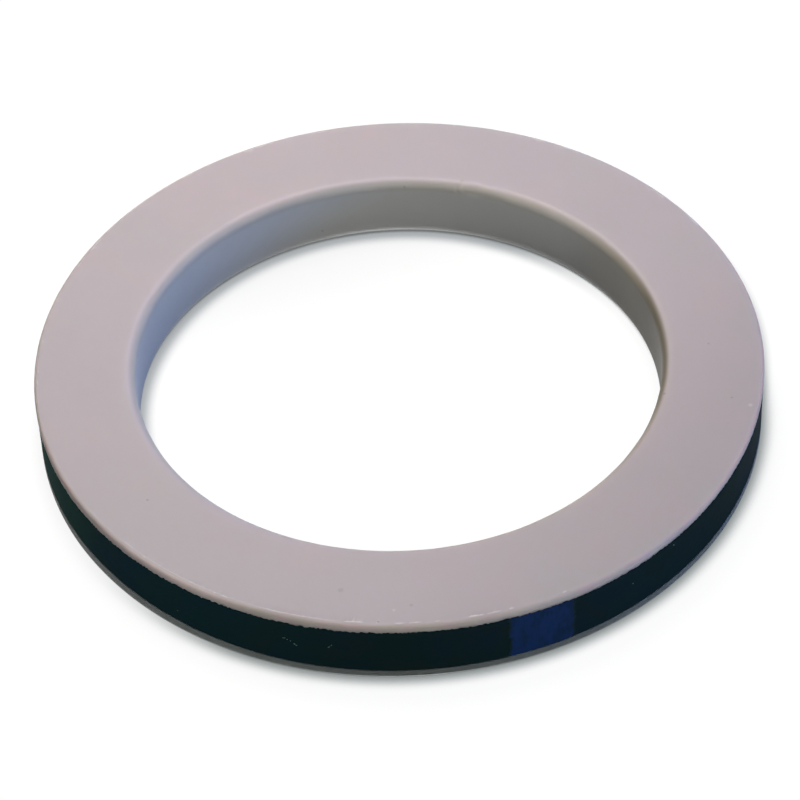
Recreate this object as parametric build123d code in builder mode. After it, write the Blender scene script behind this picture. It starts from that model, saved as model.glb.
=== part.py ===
"""Flat envelope gasket for a clamped pipe coupling, nominal 2 inch.

A turned PTFE envelope, U-shaped in section and open at the rim, lines the
bore and covers both sealing faces of a rubber filler ring. The filler gives
the spring and the envelope gives the chemical resistance.

Millimetres. +Z is the bore axis, and the origin is the centre of the lower
sealing face.
"""
import os

from build123d import *

# The ring: its outside, the radial width of each face, which sets the bore, and its height.
outer_diameter = 66.7
face_width = 9.25
thickness = 6.6

# The envelope's walls: a flank over each face, and the wall that lines the bore.
flank_thickness = 0.85
bore_wall = 1.2

# The envelope's edges: broken round at the bore, barely dulled at the rim,
# and the corners that the grooving tool leaves at the floor of the slot.
bore_edge_radius = 1.0
rim_edge_radius = 0.3
slot_corner_radius = 0.3

# The filler is pushed in from the rim. Its bore stays off the slot's corners,
# and its cut rim is slightly dulled.
filler_bore_gap = 0.1
filler_edge_radius = 0.12

outer_radius = outer_diameter / 2
bore_radius = outer_radius - face_width
slot_floor_radius = bore_radius + bore_wall
slot_bottom = flank_thickness
slot_top = thickness - flank_thickness
filler_bore_radius = slot_floor_radius + slot_corner_radius + filler_bore_gap

os.makedirs("parts", exist_ok=True)

# Envelope: turned from PTFE tube, then grooved from the rim.
with BuildPart() as envelope:
    with BuildSketch(Plane.XZ) as envelope_section:
        with BuildLine():
            Polyline(
                (bore_radius, 0),
                (outer_radius, 0),
                (outer_radius, slot_bottom),
                (slot_floor_radius, slot_bottom),
                (slot_floor_radius, slot_top),
                (outer_radius, slot_top),
                (outer_radius, thickness),
                (bore_radius, thickness),
                close=True,
            )
        make_face()
    revolve(axis=Axis.Z)

    bore_edges, slot_floor_edges, rim_edges = (
        envelope.edges().filter_by(GeomType.CIRCLE).group_by(SortBy.RADIUS)
    )
    outside_rim_edges = [rim_edges.sort_by(Axis.Z)[0], rim_edges.sort_by(Axis.Z)[-1]]
    fillet(slot_floor_edges, radius=slot_corner_radius)
    fillet(bore_edges, radius=bore_edge_radius)
    fillet(outside_rim_edges, radius=rim_edge_radius)

envelope.part.label = "envelope"
export_step(envelope.part, "parts/envelope.step")

# Filler ring: cut from rubber sheet, gripped between the flanks and flush at the rim.
with BuildPart() as filler_ring:
    with BuildSketch(Plane.XZ) as filler_section:
        with BuildLine():
            Polyline(
                (filler_bore_radius, slot_bottom),
                (outer_radius, slot_bottom),
                (outer_radius, slot_top),
                (filler_bore_radius, slot_top),
                close=True,
            )
        make_face()
    revolve(axis=Axis.Z)

    filler_rim_edges = filler_ring.edges().filter_by(GeomType.CIRCLE).group_by(SortBy.RADIUS)[-1]
    fillet(filler_rim_edges, radius=filler_edge_radius)

filler_ring.part.label = "filler_ring"
export_step(filler_ring.part, "parts/filler_ring.step")
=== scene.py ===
"""Flat envelope gasket: a turned PTFE envelope, its rubber filler ring and a blue paint mark."""
from math import atan2, cos, degrees, hypot, pi, radians, sin
from random import Random

import bmesh
import bpy
from mathutils import Matrix, Vector, noise


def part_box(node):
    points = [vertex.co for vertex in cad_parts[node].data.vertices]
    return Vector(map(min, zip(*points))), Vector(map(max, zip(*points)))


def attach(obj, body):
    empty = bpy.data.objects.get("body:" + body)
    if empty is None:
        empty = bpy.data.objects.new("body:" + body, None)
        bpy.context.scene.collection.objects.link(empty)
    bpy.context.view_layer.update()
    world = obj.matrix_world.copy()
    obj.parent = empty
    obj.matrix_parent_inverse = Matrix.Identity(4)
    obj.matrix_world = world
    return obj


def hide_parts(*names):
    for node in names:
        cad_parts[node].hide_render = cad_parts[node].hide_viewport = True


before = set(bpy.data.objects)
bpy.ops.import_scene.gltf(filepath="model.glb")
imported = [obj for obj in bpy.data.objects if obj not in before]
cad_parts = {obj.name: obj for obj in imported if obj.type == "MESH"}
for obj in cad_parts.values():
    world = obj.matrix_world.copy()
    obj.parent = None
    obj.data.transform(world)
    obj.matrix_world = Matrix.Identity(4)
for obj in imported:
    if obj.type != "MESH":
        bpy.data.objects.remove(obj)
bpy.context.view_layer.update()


# Studio. The camera looks down on the ring from the front with a long lens, held a little
# off level. One soft lamp hangs high behind the ring; a cool one lights the bore's left wall
# from low on the right, a weak one lights the front, and one lights the underside.
scene = bpy.context.scene
scene.view_settings.view_transform = "Standard"

VIEW_DISTANCE = 0.2992
VIEW_ELEVATION = radians(44.33)
VIEW_ROLL = radians(-2.51)

camera_data = bpy.data.cameras.new("camera")
camera_data.sensor_width = 36
camera_data.lens = 144.85
camera_data.shift_x = -0.0007
camera_data.shift_y = 0.0066
camera_data.clip_start = 0.01
camera = bpy.data.objects.new("camera", camera_data)
camera.matrix_world = (
    Matrix.Rotation(pi / 2 - VIEW_ELEVATION, 4, "X")
    @ Matrix.Rotation(VIEW_ROLL, 4, "Z")
    @ Matrix.Translation((0, 0, VIEW_DISTANCE))
)
scene.collection.objects.link(camera)
scene.camera = camera


def around(turned, radius, height):
    """The point that lies so many degrees round from the X axis, at a radius and a height."""
    return Vector((radius * cos(radians(turned)), radius * sin(radians(turned)), height))


def add_lamp(name, azimuth, elevation, distance, size, level, colour):
    """A round soft lamp aimed at the ring; level is what it gives a white card that faces it."""
    lamp = bpy.data.lights.new(name, "AREA")
    lamp.shape = "DISK"
    lamp.size = size
    lamp.color = colour
    lamp.energy = level * pi * pi * distance**2
    away = around(azimuth, cos(radians(elevation)), sin(radians(elevation)))
    facing = away.to_track_quat("Z", "Y").to_matrix().to_4x4()
    holder = bpy.data.objects.new(name, lamp)
    holder.matrix_world = Matrix.Translation(away * distance) @ facing
    scene.collection.objects.link(holder)


add_lamp("key", 108, 70, distance=0.19, size=0.08, level=0.925, colour=(1.0, 0.99, 0.93))
add_lamp("cool", 2, 11, distance=0.5, size=0.12, level=0.42, colour=(0.045, 0.29, 1.0))
add_lamp("front", -76, 10, distance=0.5, size=0.15, level=0.355, colour=(0.92, 1.0, 0.95))
add_lamp("under", 0, -89.9, distance=0.5, size=0.1, level=0.30, colour=(1.0, 1.0, 1.0))


class Wire:
    """A shader socket. Arithmetic on it adds Math nodes, where a | b is the larger of the two, so
    that two masks make one. node() adds any other node."""

    def __init__(self, socket):
        self.socket = socket

    def node(self, kind, inputs=None, out=0, **settings):
        """A new node in this tree, with its settings made first and then its sockets filled."""
        tree = self.socket.id_data
        made = tree.nodes.new(kind)
        for name, value in settings.items():
            setattr(made, name, value)
        for key, value in (inputs or {}).items():
            if isinstance(value, Wire):
                tree.links.new(value.socket, made.inputs[key])
            else:
                made.inputs[key].default_value = value
        return Wire(made.outputs[out])

    def math(self, operation, first, second):
        """Math on two numbers, either of which may be a wire."""
        return self.node("ShaderNodeMath", {0: first, 1: second}, operation=operation)

    def __add__(self, other):
        return self.math("ADD", self, other)

    def __sub__(self, other):
        return self.math("SUBTRACT", self, other)

    def __rsub__(self, other):
        return self.math("SUBTRACT", other, self)

    def __mul__(self, other):
        return self.math("MULTIPLY", self, other)

    def __or__(self, other):
        return self.math("MAXIMUM", self, other)

    __radd__ = __add__
    __rmul__ = __mul__
    __ror__ = __or__

    def axis(self, name):
        """The X, Y or Z of a vector."""
        return self.node("ShaderNodeSeparateXYZ", {0: self}, out=name)

    def vector(self, operation, other=(0, 0, 0), out="Vector"):
        """Vector Math on this and another; out is "Value" where the answer is a number."""
        return self.node("ShaderNodeVectorMath", {0: self, 1: other}, out=out, operation=operation)

    def step(self, low, high):
        """0 below low and 1 above high, smooth between; falling where low is above high."""
        return self.node(
            "ShaderNodeMapRange",
            {"Value": self, "From Min": low, "From Max": high},
            interpolation_type="SMOOTHSTEP",
        )

    def tint(self, plain, tinted):
        """A colour: plain where this is 0 and tinted where it is 1. Mix has its two colours at
        sockets 6 and 7, and gives the mixed one at 2."""
        return self.node(
            "ShaderNodeMix", {0: self, 6: plain, 7: tinted}, out=2, data_type="RGBA", clamp_factor=True
        )

    def times(self, tones):
        """This colour, multiplied by each tone as far as that tone's amount goes."""
        colour = self
        for amount, tone in tones:
            colour = colour.vector("MULTIPLY", amount.tint(WHITE, tone))
        return colour


def first_wire(owner, kind="ShaderNodeTexCoord", out="Object"):
    """Empties the owner's node tree and starts it again from one socket of one new node."""
    owner.use_nodes = True
    owner.node_tree.nodes.clear()
    return Wire(owner.node_tree.nodes.new(kind).outputs[out])


def lead_out(shader, kind="ShaderNodeOutputMaterial"):
    """Leads a finished shader to its tree's new output node."""
    tree = shader.socket.id_data
    tree.links.new(shader.socket, tree.nodes.new(kind).inputs["Surface"])


# World: a dim even sky. What looks straight at it, or at it through glass, sees white, and
# the ring is lit by the dim level alone.
WHITE = (1, 1, 1, 1)
SKY_LEVEL = 0.01

world = bpy.data.worlds.new("world")
scene.world = world
seen = first_wire(world, "ShaderNodeLightPath", "Is Camera Ray")
shown = seen | seen.node("ShaderNodeLightPath", out="Is Transmission Ray")
strength = shown * (1 - SKY_LEVEL) + SKY_LEVEL
sky = shown.node("ShaderNodeBackground", {"Color": WHITE, "Strength": strength})
lead_out(sky, "ShaderNodeOutputWorld")


# Floor: a white sheet, just clear of the ring. Its white is a glow that dims where something
# stands close by, and that is the ring's shadow: the lamps add next to nothing to it. It throws
# little light back up. From below it is clear, and it lets the lower lamp through.
MM = 0.001
FLOOR_SIZE = 3.0
FLOOR_DROP = 0.02 * MM
FLOOR_SHEET = (0.08, 0.08, 0.08, 1)
FLOOR_BOUNCE = (0.16, 0.17, 0.165, 1)

floor_mesh = bmesh.new()
bmesh.ops.create_grid(floor_mesh, x_segments=1, y_segments=1, size=FLOOR_SIZE / 2)
bmesh.ops.translate(floor_mesh, verts=floor_mesh.verts[:], vec=(0, 0, -FLOOR_DROP))
floor_data = bpy.data.meshes.new("floor")
floor_mesh.to_mesh(floor_data)
floor_mesh.free()
floor = bpy.data.objects.new("floor", floor_data)
scene.collection.objects.link(floor)

floor_finish = bpy.data.materials.new("white_sheet")
place = first_wire(floor_finish)
seen, mirrored, through, unlit = [
    place.node("ShaderNodeLightPath", out=ray)
    for ray in ("Is Camera Ray", "Is Glossy Ray", "Is Transmission Ray", "Is Shadow Ray")
]
shown = seen | mirrored | through

# The shadow has one depth outside the ring and one in its bore, and a dark seam at the very
# foot. It is set faint on the ring's left outside and on its right inside. The edge between
# outside and inside lies under the ring, where it isn't seen.
SHADOW_REACH = 1.8 * MM
FLOOR_SHADE = (0.275, 0.30, 0.298, 1)
FLOOR_INNER = (0.385, 0.405, 0.42, 1)
FLOOR_FAINT = (0.90, 0.90, 0.90, 1)
FLOOR_SEAM = (0.14, 0.15, 0.15, 1)

away = place.vector("LENGTH", out="Value")
outside = away.step(28 * MM, 30 * MM)
lean = place.vector("NORMALIZE").axis("X") * (outside * 2 - 1)
openness = place.node("ShaderNodeAmbientOcclusion", {"Distance": SHADOW_REACH}, out="AO", samples=16)
shade = outside.tint(FLOOR_INNER, FLOOR_SHADE)
shade = lean.step(-0.9, -0.4).tint(FLOOR_FAINT, shade)
shade = openness.step(0.25, 0.36).tint(FLOOR_SEAM, shade)

# Past that narrow shadow the sheet is a little dim near the ring, and dimmer in the bore under its far
# wall. A soft shadow is drawn outside on the right: the edge of a disc as wide as the ring, shifted
# off its middle. No lamp casts it.
FLOOR_GLOW = (0.955, 0.955, 0.955, 1)
FLOOR_DIM = (0.85, 0.85, 0.855, 1)
FLOOR_SIDE = (0.38, 0.39, 0.39, 1)
FAR_SIDE = (-0.34, 0.94, 0)
SIDE_MIDDLE = (1.95 * MM, 6.6 * MM, 0)
SIDE_RADIUS = 33.35 * MM
SIDE_BLUR = 1.6 * MM

far_side = place.vector("DOT_PRODUCT", FAR_SIDE, out="Value").step(11 * MM, 25 * MM) * (1 - outside)
drawn = place.vector("DISTANCE", SIDE_MIDDLE, out="Value").step(SIDE_RADIUS, SIDE_RADIUS - SIDE_BLUR)
drawn = drawn * lean.step(0.80, 1.0) * outside
glow = away.step(0.05, 0.20).tint(FLOOR_GLOW, WHITE)
glow = far_side.tint(glow, FLOOR_DIM)
glow = drawn.tint(glow, FLOOR_SIDE)
glow = openness.step(0.47, 1.0).tint(shade, glow)

glowing = place.node("ShaderNodeEmission", {"Color": glow})
sheet = place.node("ShaderNodeBsdfDiffuse", {"Color": FLOOR_SHEET})
lit = place.node("ShaderNodeAddShader", {0: sheet, 1: glowing})
bounce = place.node("ShaderNodeBsdfDiffuse", {"Color": FLOOR_BOUNCE})
above = place.node("ShaderNodeMixShader", {0: shown, 1: bounce, 2: lit})
clear = place.node("ShaderNodeNewGeometry", out="Backfacing") | unlit
passed = place.node("ShaderNodeBsdfTransparent")
lead_out(place.node("ShaderNodeMixShader", {0: clear, 1: above, 2: passed}))
floor_data.materials.append(floor_finish)


# Envelope: the white jacket, turned from a PTFE tube and grooved from the rim, so its section is
# a U that lies on its side. The bore's edges are broken round, the rim's are nearly sharp and
# carry the burr that the knife left, and the slot grips the filler ring.
envelope_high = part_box("envelope")[1]
filler_low, filler_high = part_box("filler_ring")

RIM_RADIUS = envelope_high.x
TOP = envelope_high.z
SLOT_LOW = filler_low.z
SLOT_HIGH = filler_high.z
FACE_WIDTH = 9.25 * MM
BORE_RADIUS = RIM_RADIUS - FACE_WIDTH
SLOT_FLOOR_RADIUS = BORE_RADIUS + 1.2 * MM
BORE_EDGE = 1.0 * MM
RIM_EDGE = 0.3 * MM
RIM_BAND = 1.0 * MM
SLOT_CORNER = 0.3 * MM
BURR_RADIUS = RIM_RADIUS - 0.34 * MM
BURR_WIDTH = 0.13 * MM
TURN_STEPS = 1200
HAIR = 0.01 * MM


def closed_outline(shape, points):
    """The corners of a new closed wire through (radius, height) points in the XZ plane."""
    corners = [shape.verts.new((radius, 0, height)) for radius, height in points]
    for i, corner in enumerate(corners):
        shape.edges.new((corners[i - 1], corner))
    return corners


def round_corners(shape, corners, radius, segments):
    """Rounds corners of a wire, as a turning tool's nose does."""
    bmesh.ops.bevel(
        shape, geom=corners, offset=radius, offset_type="OFFSET", segments=segments,
        profile=0.5, affect="VERTICES", material=-1,
    )


def divide_sides(shape, longest):
    """Divides the wire's straight runs. longest gives the longest piece for a side's middle."""
    for side in list(shape.edges):
        middle = (side.verts[0].co + side.verts[1].co) / 2
        cuts = int(side.calc_length() / longest(middle))
        if cuts:
            bmesh.ops.subdivide_edges(shape, edges=[side], cuts=cuts)


def turn(shape, steps):
    """Spins the wire through a sector of the ring, and copies that round the axis until it closes."""
    doublings = 4
    sector = 2 * pi / 2**doublings
    bmesh.ops.spin(
        shape, geom=shape.verts[:] + shape.edges[:], cent=(0, 0, 0), axis=(0, 0, 1), dvec=(0, 0, 0),
        angle=sector, steps=steps // 2**doublings, use_merge=False, use_duplicate=False,
    )
    for doubling in range(doublings):
        grown = bmesh.ops.duplicate(shape, geom=shape.verts[:] + shape.edges[:] + shape.faces[:])
        added = [part for part in grown["geom"] if isinstance(part, bmesh.types.BMVert)]
        swing = Matrix.Rotation(sector * 2**doubling, 3, "Z")
        bmesh.ops.rotate(shape, verts=added, cent=(0, 0, 0), matrix=swing)
    bmesh.ops.remove_doubles(shape, verts=shape.verts[:], dist=0.001 * MM)
    bmesh.ops.recalc_face_normals(shape, faces=shape.faces[:])


def finished_piece(name, shape, finish, sharp_angle=40):
    """An object from the mesh, smooth but for its sharp edges, riding on the part."""
    data = bpy.data.meshes.new(name)
    shape.to_mesh(data)
    shape.free()
    data.polygons.foreach_set("use_smooth", [True] * len(data.polygons))
    data.set_sharp_from_angle(angle=radians(sharp_angle))
    data.materials.append(finish)
    piece = bpy.data.objects.new(name, data)
    scene.collection.objects.link(piece)
    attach(piece, "root")
    return piece


def angle_round(point):
    """How many degrees round from the X axis a point lies."""
    return degrees(atan2(point.y, point.x)) % 360


def rough(point, scale, seed=0.0):
    """Even noise from -1 to 1 at a point, with features about scale wide."""
    return noise.noise(point / scale + Vector((seed, seed * 0.7, seed * 1.3)))


def bell(distance, width):
    """1 at no distance, falling smoothly to 0 at width."""
    return max(0.0, 1 - (distance / width) ** 2) ** 2


def lip_drift(turned, up):
    """How far the lips' meeting with the rubber wanders: the lower lip is thick on the left, and
    the upper lip thin on the right. up is 0 at the lower lip and 1 at the upper."""
    return ((1 - up) * 0.30 * bell(turned - 213, 42) + up * 0.33 * bell(turned - 336, 38)) * MM


envelope_shape = bmesh.new()
corners = closed_outline(envelope_shape, [
    (BORE_RADIUS, 0),
    (RIM_RADIUS - RIM_BAND, 0),
    (RIM_RADIUS, 0),
    (RIM_RADIUS, SLOT_LOW),
    (SLOT_FLOOR_RADIUS, SLOT_LOW),
    (SLOT_FLOOR_RADIUS, SLOT_HIGH),
    (RIM_RADIUS, SLOT_HIGH),
    (RIM_RADIUS, TOP),
    (BURR_RADIUS, TOP),
    (BURR_RADIUS - BURR_WIDTH, TOP),
    (RIM_RADIUS - RIM_BAND, TOP),
    (BORE_RADIUS, TOP),
])
bore_corners = [corners[0], corners[11]]
rim_corners = [corners[2], corners[7]]
slot_corners = [corners[4], corners[5]]
round_corners(envelope_shape, bore_corners, BORE_EDGE, 10)
round_corners(envelope_shape, rim_corners, RIM_EDGE, 5)
round_corners(envelope_shape, slot_corners, SLOT_CORNER, 2)


def envelope_grain(middle):
    """Fine near the rim, coarse on the open faces, and undivided inside the slot."""
    at_foot = middle.z < HAIR
    if SLOT_LOW - HAIR < middle.z < SLOT_HIGH + HAIR and middle.x > BORE_RADIUS + HAIR:
        return 10 * MM
    if middle.x < BURR_RADIUS - BURR_WIDTH:
        return 2.0 * MM if at_foot else 0.75 * MM
    if at_foot:
        return 0.3 * MM
    return 0.05 * MM if middle.z > TOP - HAIR else 0.12 * MM


divide_sides(envelope_shape, envelope_grain)
turn(envelope_shape, TURN_STEPS)

# The knife's burr stands along the top edge: long low ridges, and slivers that it tore up.
# Each is where it starts and ends in degrees round the ring, and how high it stands in mm.
burrs = [
    (222, 248, 0.03), (226.4, 227.1, 0.07), (229.6, 230.2, 0.05), (235.4, 236.0, 0.09),
    (239.7, 240.3, 0.07), (240.8, 242.4, 0.08), (246, 259.5, 0.05), (247.5, 251.5, 0.08),
    (260.2, 263.2, 0.12), (265.0, 265.5, 0.07), (267.8, 269.2, 0.10), (269.7, 271.6, 0.08),
    (273.6, 274.3, 0.06), (278.4, 280.9, 0.13), (281.3, 283.6, 0.05), (284.7, 285.4, 0.12),
    (293.2, 293.8, 0.10),
]
chance = Random(11)
for sliver in range(30):
    start = chance.uniform(20, 222)
    burrs.append((start, start + chance.uniform(0.4, 3.0), chance.uniform(0.015, 0.05)))

burr_heights = [0.0] * TURN_STEPS
burr_drift = [0.0] * TURN_STEPS
for start, end, height in burrs:
    drift = chance.uniform(-0.06, 0.04)
    for step in range(int(start / 360 * TURN_STEPS), int(end / 360 * TURN_STEPS) + 1):
        along = (step / TURN_STEPS * 360 - start) / (end - start)
        if 0 < along < 1:
            here = height * MM * sin(pi * along) ** 0.7 * chance.uniform(0.45, 1.1)
            if here > burr_heights[step % TURN_STEPS]:
                burr_heights[step % TURN_STEPS] = here
                burr_drift[step % TURN_STEPS] = (drift + chance.uniform(-0.015, 0.015)) * MM

# The edge of each lip is torn into small teeth where it meets the rubber, and the bore's top
# edge is bruised in two places, and nicked. A bruise is its middle and half its width in
# degrees, and its depth in mm, and the teeth are in mm too.
UPPER_TOOTH = 0.08
UPPER_TOOTH_CHANGE = 0.06
LOWER_TOOTH = 0.03
BRUISES = ((70, 11, 0.18), (31, 5, 0.04))
NICK = (74.6, 0.9, 0.12)
WHITEST_BURR = 0.09 * MM
lip_teeth = [chance.uniform(-1, 1) for step in range(TURN_STEPS)]

whiteness = envelope_shape.verts.layers.float.new("whitened")
for vert in envelope_shape.verts:
    radius = hypot(vert.co.x, vert.co.y)
    outward = Vector((vert.co.x / radius, vert.co.y / radius, 0))
    turned = angle_round(vert.co)
    step = round(turned / 360 * TURN_STEPS) % TURN_STEPS
    near_rim = radius > RIM_RADIUS - RIM_BAND
    on_rim = radius > RIM_RADIUS - HAIR

    drift = 0
    if on_rim and SLOT_HIGH - HAIR < vert.co.z < TOP - RIM_EDGE:
        kept = (vert.co.z - SLOT_HIGH) / (TOP - RIM_EDGE - SLOT_HIGH)
        drift = lip_drift(turned, 1) * (1 - kept)
    elif on_rim and RIM_EDGE < vert.co.z < SLOT_LOW + HAIR:
        kept = (SLOT_LOW - vert.co.z) / (SLOT_LOW - RIM_EDGE)
        drift = lip_drift(turned, 0) * (1 - kept)

    if near_rim and vert.co.z > TOP - RIM_EDGE:
        burr = burr_heights[step] * bell(radius - BURR_RADIUS - burr_drift[step], BURR_WIDTH)
        vert[whiteness] = min(1.0, burr / WHITEST_BURR)
        vert.co.z += burr
    elif on_rim and abs(vert.co.z - SLOT_HIGH) < HAIR:
        torn = UPPER_TOOTH + UPPER_TOOTH_CHANGE * rough(vert.co, 4 * MM, 8)
        vert.co.z += (torn * lip_teeth[step] + 0.04 * rough(vert.co, 1.3 * MM, 3)) * MM
    elif on_rim and abs(vert.co.z - SLOT_LOW) < HAIR:
        vert.co.z += (LOWER_TOOTH * lip_teeth[-step] + 0.03 * rough(vert.co, 1.7 * MM, 5)) * MM
    elif radius < BORE_RADIUS + BORE_EDGE and vert.co.z > TOP - BORE_EDGE:
        bruise = 0.02 + sum(deep * bell(turned - middle, wide) for middle, wide, deep in BRUISES)
        middle, wide, deep = NICK
        depth = bruise * rough(vert.co, 1.5 * MM, 9) + deep * bell(turned - middle, wide)
        vert.co += outward * depth * MM
    if near_rim and SLOT_HIGH + HAIR < vert.co.z < TOP - 0.1 * MM:
        vert.co += outward * 0.015 * rough(vert.co, 0.9 * MM, 7) * MM
    vert.co.z += drift
envelope_shape.normal_update()

envelope_finish = bpy.data.materials.new("turned_ptfe")
place = first_wire(envelope_finish)
height = place.axis("Z")
side = place.axis("X")
radius = place.vector("MULTIPLY", (1, 1, 0)).vector("LENGTH", out="Value")


def soft_noise(place, size, detail=2.0, seed=0.0):
    """Noise near 0.5 with features about size wide."""
    return place.node(
        "ShaderNodeTexNoise", {"Vector": place, "Scale": 1 / size, "Detail": detail, "W": seed},
        noise_dimensions="4D",
    )


# The face's white turns greenish and rosy in soft clouds, and the bore's wall is whiter.
FACE_WHITE = (0.530, 0.460, 0.490, 1)
GREENISH = (0.519, 0.461, 0.484, 1)
ROSY = (0.548, 0.460, 0.487, 1)
WALL_WHITE = (0.535, 0.508, 0.510, 1)

clouds = soft_noise(place, 11 * MM, 1.5)
blush = soft_noise(place, 7 * MM, 1.5, seed=4)
fine = soft_noise(place, 0.5 * MM, 4, seed=9)
colour = clouds.step(0.35, 0.75).tint(FACE_WHITE, GREENISH)
colour = blush.step(0.45, 0.8).tint(colour, ROSY)
on_wall = radius.step(BORE_RADIUS + 0.70 * MM, BORE_RADIUS + 0.15 * MM)
colour = on_wall.tint(colour, WALL_WHITE)

# The upper lip has rosy patches, and painted light: it is painted paler at the front left, and warmer
# on the right against the cool lamp's blue there. The lower one is painted far darker as painted
# shade, most of all towards the right.
LIP_WHITE = (0.585, 0.495, 0.470, 1)
LIP_ROSY = (0.618, 0.478, 0.482, 1)
LIP_PAINTED_LIGHT = (0.78, 0.62, 0.62, 1)
LIP_RIGHT_PAINTED_LIGHT = (0.74, 0.50, 0.43, 1)
LOWER_LIP_SHADE_LEFT = (0.277, 0.290, 0.290, 1)
LOWER_LIP_SHADE_RIGHT = (0.135, 0.142, 0.140, 1)

# Painted light: the front left of the upper lip is set paler.
pale = side.step(-0.38 * RIM_RADIUS, -0.55 * RIM_RADIUS)
pale = pale * side.step(-0.82 * RIM_RADIUS, -0.68 * RIM_RADIUS)
upper_lip_tints_and_light = soft_noise(place, 2.2 * MM, 1, seed=6).step(0.45, 0.62).tint(LIP_WHITE, LIP_ROSY)
upper_lip_tints_and_light = pale.tint(upper_lip_tints_and_light, LIP_PAINTED_LIGHT)
# Painted light: the right of the upper lip is set warmer, against the cool lamp's blue.
upper_lip_tints_and_light = side.step(0.6 * RIM_RADIUS, 0.9 * RIM_RADIUS).tint(upper_lip_tints_and_light, LIP_RIGHT_PAINTED_LIGHT)
# Painted shade: the whole lower lip is set far darker, most on the right.
lower_lip_painted_shade = side.step(-0.9 * RIM_RADIUS, 0.1 * RIM_RADIUS).tint(LOWER_LIP_SHADE_LEFT, LOWER_LIP_SHADE_RIGHT)
at_rim = radius.step(RIM_RADIUS - 0.3 * MM, RIM_RADIUS - 0.1 * MM)
colour = (at_rim * height.step(SLOT_LOW, SLOT_HIGH)).tint(colour, upper_lip_tints_and_light)
colour = (at_rim * height.step(SLOT_HIGH, SLOT_LOW)).tint(colour, lower_lip_painted_shade)

# Painted shade: the bore's right wall is painted darker and yellower, most at its right end, and the
# near right of the face, the bore's top edge and its foot are painted a little darker, standing in for
# how the ring is lit.
NEAR_RIGHT = (0.82, -0.57, 0)
RIGHT_WALL_PAINTED_SHADE = (0.62, 0.59, 0.50, 1)
RIGHT_WALL_END_PAINTED_SHADE = (0.64, 0.63, 0.60, 1)
NEAR_RIGHT_PAINTED_SHADE = (0.93, 0.925, 0.925, 1)
BORE_EDGE_PAINTED_SHADE = (0.90, 0.87, 0.83, 1)
WALL_FOOT_PAINTED_SHADE = (0.74, 0.78, 0.78, 1)

near_right = place.vector("DOT_PRODUCT", NEAR_RIGHT, out="Value").step(0.4 * RIM_RADIUS, RIM_RADIUS)
bore_edge = radius.step(BORE_RADIUS + 0.75 * MM, BORE_RADIUS + 0.3 * MM)
# These multipliers are painted shade.
colour = colour.times((
    (on_wall * side.step(0.65 * BORE_RADIUS, BORE_RADIUS), RIGHT_WALL_PAINTED_SHADE),
    (on_wall * side.step(0.91 * BORE_RADIUS, BORE_RADIUS), RIGHT_WALL_END_PAINTED_SHADE),
    (near_right * height.step(TOP - 0.3 * MM, TOP), NEAR_RIGHT_PAINTED_SHADE),
    (bore_edge * height.step(TOP - 1.3 * MM, TOP - 0.6 * MM), BORE_EDGE_PAINTED_SHADE),
    (on_wall * height.step(1.1 * MM, 0.1 * MM), WALL_FOOT_PAINTED_SHADE),
))

# PTFE whitens where it is stretched, as at the burrs. Small pits lie scattered on the face,
# with a few larger smudges, most of them near the front edge. A strength below 0 is a pale scuff.
STRETCHED = (0.78, 0.70, 0.69, 1)
SMUDGE = (0.20, 0.18, 0.16, 1)

whitened = place.node("ShaderNodeAttribute", out="Fac", attribute_name="whitened")
colour = whitened.tint(colour, STRETCHED)
cells = place.node("ShaderNodeTexVoronoi", {"Vector": place, "Scale": 1 / (4.5 * MM)})
smudges = cells.step(0.045, 0.02) * 0.35
for turned, out, size, strength in (
    (258.7, 29.5, 0.35, 0.22), (270.3, 31.0, 0.25, 0.22), (265.3, 32.85, 0.12, 0.8),
    (344.5, 32.5, 0.3, -0.4), (267.6, 31.5, 0.22, -0.3), (74.0, 24.9, 0.3, 0.15),
):
    apart = place.vector("DISTANCE", around(turned, out * MM, TOP), out="Value")
    ragged = apart + (fine - 0.5) * (0.3 * size * MM)
    smudges = smudges + ragged.step(size * MM, 0.3 * size * MM) * strength
colour = smudges.tint(colour, SMUDGE)
colour = (smudges * -1.0).tint(colour, STRETCHED)

# Turning marks: very fine rings on the faces, round the axis.
rings = place.node(
    "ShaderNodeTexNoise", {"W": radius * (1 / (0.12 * MM)), "Detail": 2.0}, noise_dimensions="1D"
)
relief = rings * 0.35 + fine * 0.5 + soft_noise(place, 2.5 * MM) * 1.2
bump = place.node("ShaderNodeBump", {"Height": relief, "Strength": 0.12, "Distance": 0.06 * MM})
lead_out(place.node("ShaderNodeBsdfPrincipled", {
    "Base Color": colour,
    "Roughness": fine * 0.16 + 0.42,
    "IOR": 1.35,
    "Normal": bump,
    "Subsurface Weight": 1.0,
    "Subsurface Radius": (1.0, 1.0, 1.0),
    "Subsurface Scale": 1.4 * MM,
}))

envelope = finished_piece("envelope_jacket", envelope_shape, envelope_finish)
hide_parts("envelope")


# Filler ring: black rubber cut from sheet, held in the slot and flush with the lips. Its cut
# face shows a fine grain and slow waves, and its edges are a little rounded.
FILLER_BORE_RADIUS = SLOT_FLOOR_RADIUS + 0.4 * MM
FILLER_EDGE = 0.12 * MM
CUT_BAND = 0.2 * MM


def rubber_wave(point):
    """How far the rubber's cut face stands out, in slow waves, in mm."""
    return 0.025 * rough(point, 3 * MM, 6) - 0.03


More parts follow.
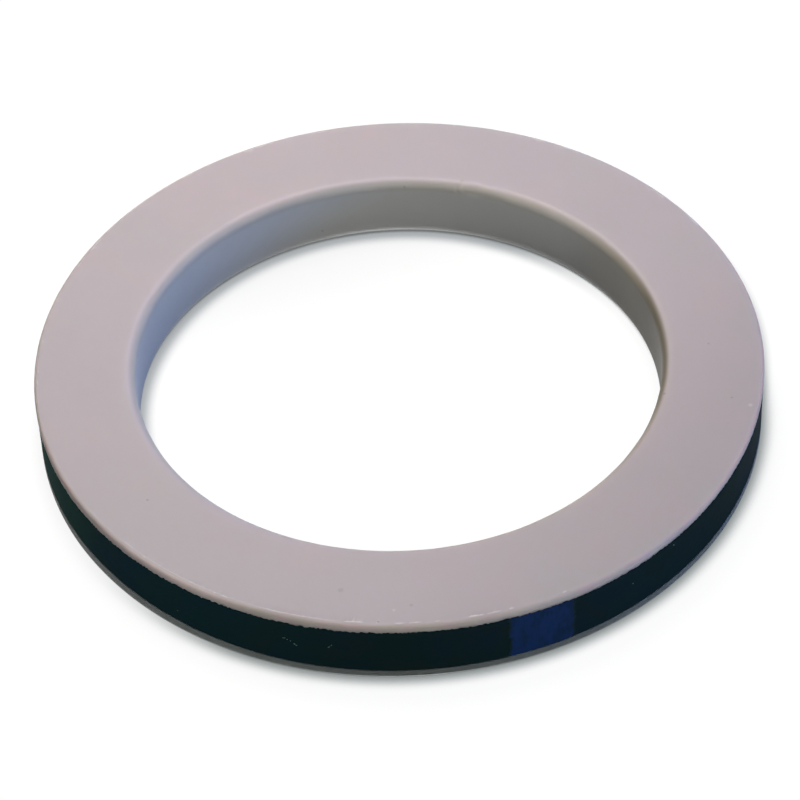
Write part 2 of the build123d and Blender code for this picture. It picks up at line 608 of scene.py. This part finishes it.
filler_shape = bmesh.new()
corners = closed_outline(filler_shape, [
    (FILLER_BORE_RADIUS, SLOT_LOW),
    (RIM_RADIUS, SLOT_LOW),
    (RIM_RADIUS, SLOT_HIGH),
    (FILLER_BORE_RADIUS, SLOT_HIGH),
])
round_corners(filler_shape, corners[1:3], FILLER_EDGE, 3)
divide_sides(filler_shape, lambda middle: 0.18 * MM if middle.x > RIM_RADIUS - CUT_BAND else 10 * MM)
turn(filler_shape, TURN_STEPS)
for vert in filler_shape.verts:
    radius = hypot(vert.co.x, vert.co.y)
    if radius > RIM_RADIUS - CUT_BAND:
        grain = 0.012 * rough(vert.co, 0.35 * MM, 2) + rubber_wave(vert.co)
        vert.co += Vector((vert.co.x, vert.co.y, 0)) / radius * grain * MM
        up = (vert.co.z - SLOT_LOW) / (SLOT_HIGH - SLOT_LOW)
        vert.co.z += lip_drift(angle_round(vert.co), up)
filler_shape.normal_update()

# The black is a little blue or grey in patches. It is painted lighter on the left and greener at its
# far left end as painted light, and darker on the right as painted shade.
BLACK_GREEN = (0.0066, 0.0185, 0.0215, 1)
BLACK_BLUE = (0.0060, 0.0170, 0.0260, 1)
BLACK_GREY = (0.0086, 0.0178, 0.0192, 1)
RUBBER_RIGHT_PAINTED_SHADE = (0.65, 0.85, 0.70, 1)
RUBBER_LEFT_PAINTED_LIGHT = (1.5, 2.2, 2.4, 1)
RUBBER_LEFT_END_PAINTED_LIGHT = (1.5, 2.1, 1.2, 1)

filler_finish = bpy.data.materials.new("black_rubber")
place = first_wire(filler_finish)
side = place.axis("X")
colour = soft_noise(place, 5 * MM, 2).step(0.4, 0.7).tint(BLACK_GREEN, BLACK_BLUE)
colour = soft_noise(place, 3.5 * MM, 2, seed=3).step(0.5, 0.75).tint(colour, BLACK_GREY)
# Painted light on the left and painted shade on the right.
colour = colour.times((
    (side.step(0.5 * RIM_RADIUS, RIM_RADIUS), RUBBER_RIGHT_PAINTED_SHADE),
    (side.step(0, -RIM_RADIUS), RUBBER_LEFT_PAINTED_LIGHT),
    (side.step(-0.78 * RIM_RADIUS, -0.97 * RIM_RADIUS), RUBBER_LEFT_END_PAINTED_LIGHT),
))
fine = soft_noise(place, 0.22 * MM, 3, seed=1)
bump = place.node("ShaderNodeBump", {"Height": fine, "Strength": 0.35, "Distance": 0.04 * MM})
lead_out(place.node("ShaderNodeBsdfPrincipled", {
    "Base Color": colour,
    "Roughness": fine * 0.2 + 0.62,
    "Normal": bump,
    "IOR": 1.08,
}))

filler = finished_piece("filler_rubber", filler_shape, filler_finish)
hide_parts("filler_ring")


# Paint mark: one short stripe of blue marking paint, brushed across the rubber from lip to
# lip. It is a thin film with ragged ends, and the rubber shows through between the strokes.
MARK_START = 284.6
MARK_END = 295.1
MARK_LIFT = 0.024
MARK_THICKNESS = 0.03 * MM
MARK_LOW = SLOT_LOW + 0.10 * MM
MARK_HIGH = SLOT_HIGH - 0.06 * MM
PAINT_BLUE = (0.0088, 0.0290, 0.104, 1)
PAINT_DEEP = (0.0072, 0.0225, 0.060, 1)

mark_shape = bmesh.new()
bmesh.ops.create_grid(mark_shape, x_segments=120, y_segments=60, size=0.5)
coverage = mark_shape.verts.layers.float.new("coverage")
for vert in mark_shape.verts:
    across = vert.co.x + 0.5
    up = MARK_LOW + (vert.co.y + 0.5) * (MARK_HIGH - MARK_LOW)
    level = Vector((0, 0, up))
    start = MARK_START + 0.45 * rough(level, 0.9 * MM, 1) + 0.3 * rough(level, 0.25 * MM, 2)
    end = MARK_END + 0.35 * rough(level, 1.1 * MM, 3) + 0.35 * rough(level, 0.3 * MM, 4)
    turned = start + (end - start) * across
    stroke = 0.006 * rough(Vector((across * 24, up / MM * 0.5, 0)), 1.0, 5)
    vert[coverage] = min(1.0, 12 * min(across, 1 - across) + 0.15)
    vert.co = around(turned, RIM_RADIUS, up)
    vert.co += around(turned, (rubber_wave(vert.co) + MARK_LIFT + stroke) * MM, 0)
bmesh.ops.recalc_face_normals(mark_shape, faces=mark_shape.faces[:])
bmesh.ops.solidify(mark_shape, geom=mark_shape.faces[:], thickness=MARK_THICKNESS)
bmesh.ops.recalc_face_normals(mark_shape, faces=mark_shape.faces[:])

mark_finish = bpy.data.materials.new("blue_marking_paint")
place = first_wire(mark_finish)
streaks = soft_noise(place.vector("MULTIPLY", (1, 1, 0.3)), 0.45 * MM, 3)
blots = soft_noise(place, 1.2 * MM, 3, seed=2)
colour = (streaks * 0.6 + blots * 0.4).step(0.40, 0.66).tint(PAINT_BLUE, PAINT_DEEP)
painted = place.node("ShaderNodeAttribute", out="Fac", attribute_name="coverage")
colour = (painted * 1.3 - streaks * 0.5).step(0.0, 0.9).tint(BLACK_GREEN, colour)
bump = place.node("ShaderNodeBump", {"Height": streaks, "Strength": 0.4, "Distance": 0.05 * MM})
lead_out(place.node("ShaderNodeBsdfPrincipled", {
    "Base Color": colour,
    "Roughness": blots * 0.2 + 0.5,
    "Normal": bump,
    "Specular IOR Level": 0.03,
}))

finished_piece("paint_mark", mark_shape, mark_finish, sharp_angle=60)


# Lint: a few pale crumbs and fibres of swarf that cling to the rubber's cut face. Each is
# where it lies in degrees and mm up, how long it is in mm, and its tilt in degrees.
LINT_SEAT = RIM_RADIUS - 0.015 * MM
LINT_DARK = (0.08, 0.14, 0.13, 1)
LINT_PALE = (0.17, 0.24, 0.22, 1)

lint_shape = bmesh.new()
for turned, up, length, tilt in (
    (251.1, 3.78, 0.26, 10), (251.6, 3.66, 0.10, 40), (252.1, 3.55, 0.12, -30),
    (252.7, 3.27, 0.20, -50), (252.95, 3.14, 0.16, -20), (257.9, 3.55, 0.30, 50),
    (258.3, 3.80, 0.20, 60), (313.8, 5.18, 0.16, 80), (233.0, 2.4, 0.14, 20),
    (305.4, 3.9, 0.12, -60),
):
    grown = bmesh.ops.create_icosphere(lint_shape, subdivisions=2, radius=1.0)
    seat = (
        Matrix.Translation(around(turned, LINT_SEAT, up * MM))
        @ Matrix.Rotation(radians(turned), 4, "Z")
        @ Matrix.Rotation(radians(tilt), 4, "X")
        @ Matrix.Diagonal((0.04 * MM, length * 0.6 * MM, 0.06 * MM, 1))
    )
    bmesh.ops.transform(lint_shape, matrix=seat, verts=grown["verts"])

lint_finish = bpy.data.materials.new("lint")
place = first_wire(lint_finish)
colour = soft_noise(place, 0.15 * MM, 2).step(0.3, 0.7).tint(LINT_DARK, LINT_PALE)
lead_out(place.node("ShaderNodeBsdfPrincipled", {
    "Base Color": colour,
    "Roughness": 0.8,
    "Specular IOR Level": 0.1,
}))

finished_piece("lint", lint_shape, lint_finish, sharp_angle=60)
